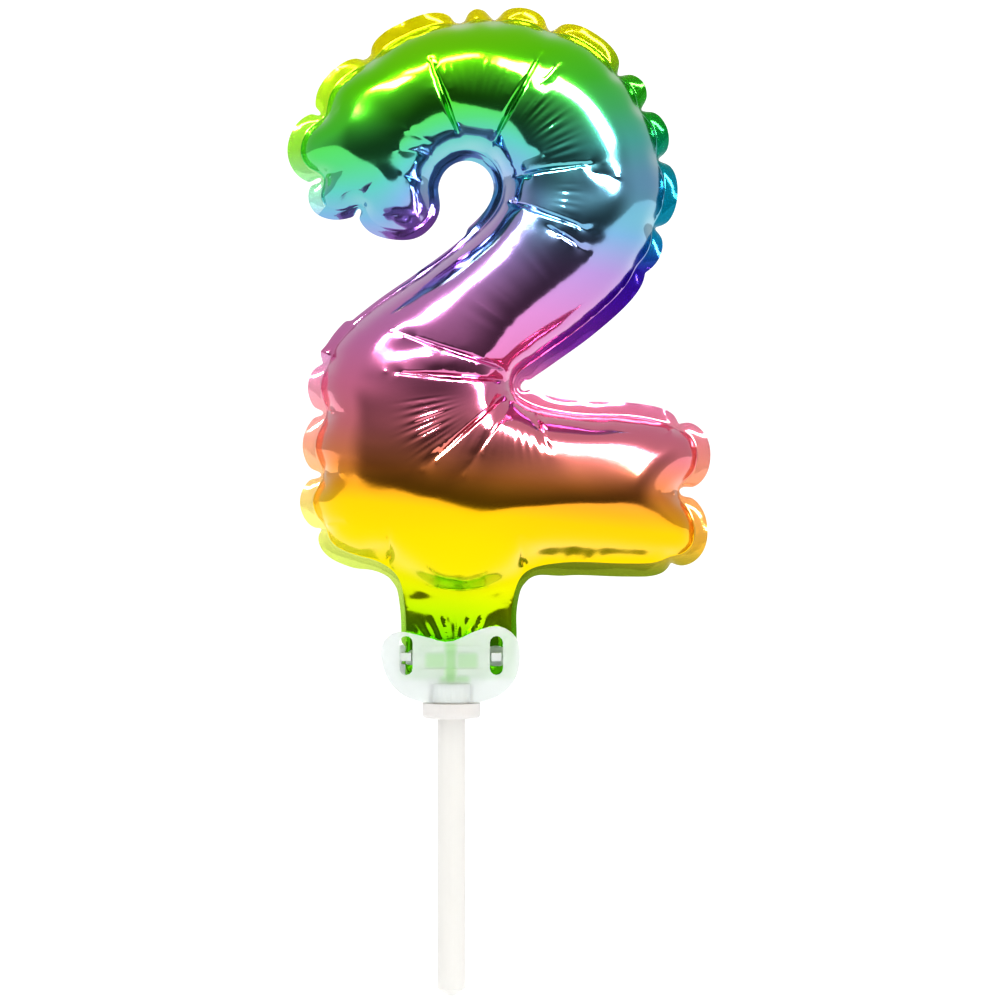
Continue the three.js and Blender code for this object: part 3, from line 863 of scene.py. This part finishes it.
# Where a point's colour comes from: its own height, and for each millimetre along X this much more.
BODY_LEAN = 0.11
HEAD_LEAN = -0.20
RIM_HEAD_LEAN = -0.09
HEAD_START = (152, 165)  # heights between which the body's lean turns into the head's
TIP_SHIFT = 1  # and this much more at the head's tip
TIP_BOTTOM = (146, 151)  # that comes in between these heights
TIP_TOP = (156, 160)  # and goes out between these
TIP_LEFT = (-21, -17)  # it comes in between these places along X
TIP_RIGHT = (-3, 2)  # and goes out between these
COUNTER_SHIFT = -8  # the same at the edge of the counter
COUNTER_FADE = (8, 19)  # distances from the counter's middle between which that ends

# The print's colours from the neck up: height and linear colour.
PRINT = (
    (62, (0.10, 0.50, 0.0)), (71, (0.16, 0.62, 0.0)), (77, (0.48, 0.72, 0.0)), (85, (0.78, 0.67, 0.0)),
    (91, (0.93, 0.62, 0.0)), (97, (0.92, 0.54, 0.003)), (100, (0.88, 0.40, 0.02)),
    (104, (0.80, 0.28, 0.06)), (112, (0.74, 0.22, 0.25)), (120, (0.74, 0.21, 0.36)),
    (129, (0.66, 0.22, 0.47)), (138, (0.60, 0.25, 0.55)), (147, (0.43, 0.28, 0.60)),
    (155, (0.20, 0.40, 0.62)), (163, (0.12, 0.52, 0.46)), (170, (0.10, 0.58, 0.20)),
    (177, (0.10, 0.64, 0.05)), (184, (0.15, 0.70, 0.01)), (191, (0.24, 0.72, 0.005)),
    (198, (0.70, 0.80, 0.0)),
)
# The print seen through the clear rim on the right side, and on the left the same print lightened towards
# white as a painted sheen.
RIM_PRINT = (
    (62, (0.08, 0.50, 0.01)), (80, (0.14, 0.30, 0.0)), (89, (0.26, 0.32, 0.02)), (95, (0.80, 0.52, 0.06)),
    (102, (0.85, 0.48, 0.16)), (112, (0.85, 0.38, 0.30)), (122, (0.70, 0.26, 0.42)),
    (132, (0.22, 0.04, 0.36)), (142, (0.09, 0.01, 0.38)), (149, (0.03, 0.01, 0.36)),
    (156, (0.0, 0.26, 0.45)), (163, (0.0, 0.26, 0.26)), (170, (0.0, 0.28, 0.03)), (180, (0.04, 0.36, 0.01)),
    (186, (0.40, 0.50, 0.0)), (191, (0.62, 0.55, 0.0)), (198, (0.66, 0.58, 0.0)),
)
PAINTED_SHEEN_FADE = (-16, 4)  # the left side's colours, with their painted sheen, turn into the right's between these places along X
RIM_PRINT_PAINTED_SHEEN = (
    (62, (0.20, 0.60, 0.02)), (86, (0.75, 0.85, 0.20)), (92, (0.95, 0.90, 0.30)), (101, (0.95, 0.62, 0.30)),
    (110, (0.95, 0.50, 0.42)), (121, (0.85, 0.42, 0.58)), (134, (0.50, 0.30, 0.65)),
    (152, (0.40, 0.45, 0.80)), (158, (0.50, 0.85, 0.78)), (164, (0.45, 0.85, 0.55)),
    (172, (0.40, 0.80, 0.10)), (184, (0.60, 0.85, 0.03)), (191, (0.66, 0.58, 0.0)),
    (198, (0.66, 0.58, 0.0)),
)


def foil_material():
    """Metallised film with its print and a faint grain."""
    m, tree, shader = material("printed_foil", Metallic=1.0, Roughness=0.12, Coat_Weight=0.05)
    shader.inputs["Coat Roughness"].default_value = 0.06
    tree.links.new(height_colours(tree, PRINT, HEAD_LEAN), shader.inputs["Base Color"])
    faint_bump(tree, shader, noise(tree, object_place(tree), 900, 3))
    return m


def rim_material():
    """Clear printed film, paler on the left, where a painted sheen lightens the print."""
    m, tree, shader = material("welded_rim", Metallic=0.2, Roughness=0.14, Transmission_Weight=0.75, IOR=1.2)
    across = fade_mm(tree, x_and_z(tree)[0], *PAINTED_SHEEN_FADE)
    # the left side's colours are the print with a painted sheen; the right side's are the print alone
    sheen_painted, deep = (height_colours(tree, stops, RIM_HEAD_LEAN) for stops in (RIM_PRINT_PAINTED_SHEEN, RIM_PRINT))
    tree.links.new(mixed(tree, across, sheen_painted, deep), shader.inputs["Base Color"])
    return m


# Where the film shows through the clip, in millimetres: middle x and z, half width, half height, strength.
SHOWS = (
    (-0.1, 66.7, 1.2, 4.0, 0.8), (-3.1, 67.1, 2.2, 1.6, 0.6), (3.2, 67.1, 2.2, 1.6, 0.6),
    (0.7, 63.4, 3.0, 0.7, 0.55), (1.4, 68.0, 11.6, 4.6, 0.16),
)
SHOWS_BLUR = (0.9, 0.7)
SHOWN_COLOUR = (0.42, 0.72, 0.34)
CLIP_COLOUR = (0.82, 0.86, 0.85)
COLLAR_COLOUR = (0.90, 0.88, 0.86)
STICK_COLOUR = (0.90, 0.89, 0.86)
VALVE_COLOUR = (0.8, 0.9, 0.4)
CLOUDY = 0.9  # the plastic's cloudy parts are darker by this factor


def clip_front_material():
    """Milky plastic that shows the film where the jaw presses it against the plate."""
    m, tree, shader, milky = plastic_material("clip_front_plastic", CLIP_COLOUR, 0.3, 0.3)
    x, z = x_and_z(tree)
    blur_x, blur_z = SHOWS_BLUR
    shown = None
    for middle_x, middle_z, half_x, half_z, strength in SHOWS:
        away_x = maths(tree, "ABSOLUTE", maths(tree, "SUBTRACT", x, middle_x * MM))
        away_z = maths(tree, "ABSOLUTE", maths(tree, "SUBTRACT", z, middle_z * MM))
        near = fade_mm(tree, away_x, half_x - blur_x, half_x + blur_x, strength, 0)
        level = fade_mm(tree, away_z, half_z - blur_z, half_z + blur_z, 1, 0)
        near = maths(tree, "MULTIPLY", near, level)
        shown = near if shown is None else maths(tree, "MAXIMUM", shown, near)
    tree.links.new(mixed(tree, shown, milky, SHOWN_COLOUR), shader.inputs["Base Color"])
    return m


def plastic_material(name, colour, clear, roughness, drawn=1.0):
    """Milky plastic, faintly cloudy and uneven; drawn below 1 stretches both along Z, as extruding does."""
    m, tree, shader = material(name, Roughness=roughness, Transmission_Weight=clear, IOR=1.3)
    stretch = tree.nodes.new("ShaderNodeMapping")
    stretch.inputs["Scale"].default_value = (1, 1, drawn)
    tree.links.new(object_place(tree), stretch.inputs["Vector"])
    place = stretch.outputs["Vector"]
    milky = mixed(tree, noise(tree, place, 260), tuple(CLOUDY * part for part in colour), colour)
    tree.links.new(milky, shader.inputs["Base Color"])
    faint_bump(tree, shader, noise(tree, place, 1400))
    return m, tree, shader, milky


def bevelled(node, width, made):
    """Gives a CAD piece its material, and rounds its edges by a width in millimetres."""
    node.data.materials.clear()
    node.data.materials.append(made)
    bevel = node.modifiers.new("soft_edges", "BEVEL")
    bevel.width = width * MM
    bevel.segments = 3
    bevel.limit_method = "ANGLE"
    bevel.angle_limit = math.radians(40)
    for p in node.data.polygons:
        p.use_smooth = True
    even = node.modifiers.new("even_shading", "WEIGHTED_NORMAL")
    even.keep_sharp = True


# ---- The scene, in metres ----
LENS = 135
SENSOR = 36
VIEW_MARGIN = 1.01  # the view is this much taller than the object
VIEW_SHIFT = (-0.0003, 0.0001)  # and its middle is this far off the object's, along X and Z
FLOOR_FRONT = ((-1.6, -0.75), (-0.03, -0.27), (1.6, -0.22))  # its reflection is the line across the base
FLOOR_SIZE = 1.6
# Strip lamps, seen only as reflections: name, start, end, width.
LAMPS = (
    ("left_strip", (-0.60, -0.36, 0.72), (-0.19, -0.36, 0.45), 0.11),
    ("top_strip", (-0.28, -0.36, 0.62), (-0.05, -0.36, 0.60), 0.06),
    ("right_strip", (0.02, -0.36, 0.53), (0.42, -0.36, 0.27), 0.12),
)
RADIANCE = 60
LAMP_TARGET = (0, 0, 0.14)
ROOM = 0.60  # how bright the room is in the foil
DARK = 0.52  # how much of that the dark side takes away
DARK_SIDE = (45, 85)  # it fades out between these angles left and right of the front, in degrees
DARK_TOP = (-20, 45)  # and between these above the horizon


def camera():
    """A long lens straight in front of the object."""
    low, high = CAD_BOX
    height = high.z - low.z
    data = bpy.data.cameras.new("camera")
    data.lens = LENS
    data.sensor_width = SENSOR
    cam = bpy.data.objects.new("camera", data)
    bpy.context.scene.collection.objects.link(cam)
    centre = Vector(((low.x + high.x) / 2 + VIEW_SHIFT[0], 0, height / 2 + VIEW_SHIFT[1]))
    cam.location = centre + Vector((0, -height * VIEW_MARGIN * LENS / SENSOR, 0))
    cam.rotation_euler = (centre - cam.location).to_track_quat("-Z", "Y").to_euler()
    bpy.context.scene.camera = cam


def studio():
    """A floor that glows plain white."""
    floor = bpy.data.meshes.new("floor")
    front = [(x, y, 0) for x, y in FLOOR_FRONT]
    back = [(FLOOR_SIZE, FLOOR_SIZE, 0), (-FLOOR_SIZE, FLOOR_SIZE, 0)]
    floor.from_pydata([*front, *back], [], [(0, 1, 2, 3, 4)])
    obj = bpy.data.objects.new("floor", floor)
    bpy.context.scene.collection.objects.link(obj)
    m, _, shader = material("white_floor", Roughness=0.9, Emission_Strength=1.0)
    shader.inputs["Base Color"].default_value = (0.02, 0.02, 0.02, 1)
    shader.inputs["Emission Color"].default_value = (1, 1, 1, 1)
    floor.materials.append(m)


def strip_lamp(name, start, end, width):
    """A soft strip in front of the balloon between two points, seen only as a reflection."""
    start, end = Vector(start), Vector(end)
    length = (end - start).length
    data = bpy.data.lights.new(name, "AREA")
    data.shape = "RECTANGLE"
    data.size, data.size_y = length, width
    data.energy = RADIANCE * math.pi * length * width
    lamp = bpy.data.objects.new(name, data)
    bpy.context.scene.collection.objects.link(lamp)
    lamp.visible_diffuse = False
    lamp.visible_transmission = False
    back = ((start + end) / 2 - Vector(LAMP_TARGET)).normalized()
    along = (end - start).normalized()
    up = back.cross(along)
    turn = Matrix((along, up, along.cross(up))).transposed().to_4x4()
    lamp.matrix_world = Matrix.Translation((start + end) / 2) @ turn


def world():
    """A pale room with a dark side low in front, which only reflections show: all else sees plain white."""
    room = bpy.data.worlds.new("studio")
    bpy.context.scene.world = room
    room.use_nodes = True
    tree = room.node_tree
    tree.nodes.clear()
    split = tree.nodes.new("ShaderNodeSeparateXYZ")
    tree.links.new(tree.nodes.new("ShaderNodeTexCoord").outputs["Generated"], split.inputs[0])
    x, y, z = split.outputs
    up = maths(tree, "DEGREES", maths(tree, "ARCSINE", z))
    side = maths(tree, "DEGREES", maths(tree, "ARCTAN2", x, maths(tree, "MULTIPLY", y, -1)))
    front = fade(tree, maths(tree, "ABSOLUTE", side), *DARK_SIDE, 1, 0)
    dark = maths(tree, "MULTIPLY", front, fade(tree, up, *DARK_TOP, 1, 0))
    reflected = maths(tree, "SUBTRACT", ROOM, maths(tree, "MULTIPLY", dark, DARK))
    path = tree.nodes.new("ShaderNodeLightPath").outputs
    plain = maths(tree, "MAXIMUM", path["Is Camera Ray"], path["Is Transmission Ray"])
    plain = maths(tree, "MAXIMUM", plain, path["Is Diffuse Ray"])
    mix = tree.nodes.new("ShaderNodeMix")
    mix.data_type = "FLOAT"
    tree.links.new(plain, mix.inputs["Factor"])
    tree.links.new(reflected, mix.inputs["A"])
    mix.inputs["B"].default_value = 1.0
    back = tree.nodes.new("ShaderNodeBackground")
    back.inputs["Color"].default_value = (1, 1, 1, 1)
    tree.links.new(mix.outputs["Result"], back.inputs["Strength"])
    tree.links.new(back.outputs[0], tree.nodes.new("ShaderNodeOutputWorld").inputs[0])


def main():
    foil, rim = foil_material(), rim_material()
    cut = cut_pattern()
    blown, back_of = inflate(cut)
    front = foil_piece("printed_front_foil", cut, blown, np.arange(len(cut["flat"])), -1, [foil, rim])
    back = foil_piece("printed_back_foil", cut, blown, back_of, 1, [foil, rim])
    for piece, node in ((front, "front_foil"), (back, "back_foil")):
        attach(piece, "balloon")
        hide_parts(node)
    nodes = frame["nodes"]
    bevelled(nodes["clip_front"], 0.35, clip_front_material())
    for name, width, values in (
        ("clip_back", 0.25, ("clip_plastic", CLIP_COLOUR, 0.3, 0.3)),
        ("collar", 0.3, ("collar_plastic", COLLAR_COLOUR, 0.3, 0.35)),
        ("stick", 0.1, ("stick_plastic", STICK_COLOUR, 0.3, 0.35, 0.04)),
        ("valve_front", 0.05, ("valve_film_front", VALVE_COLOUR, 0.8, 0.2)),
        ("valve_back", 0.05, ("valve_film_back", VALVE_COLOUR, 0.8, 0.2)),
    ):
        bevelled(nodes[name], width, plastic_material(*values)[0])
    camera()
    studio()
    for lamp in LAMPS:
        strip_lamp(*lamp)
    world()
    bpy.context.scene.view_settings.view_transform = "Standard"
    bpy.context.scene.view_settings.look = "Medium High Contrast"


main()
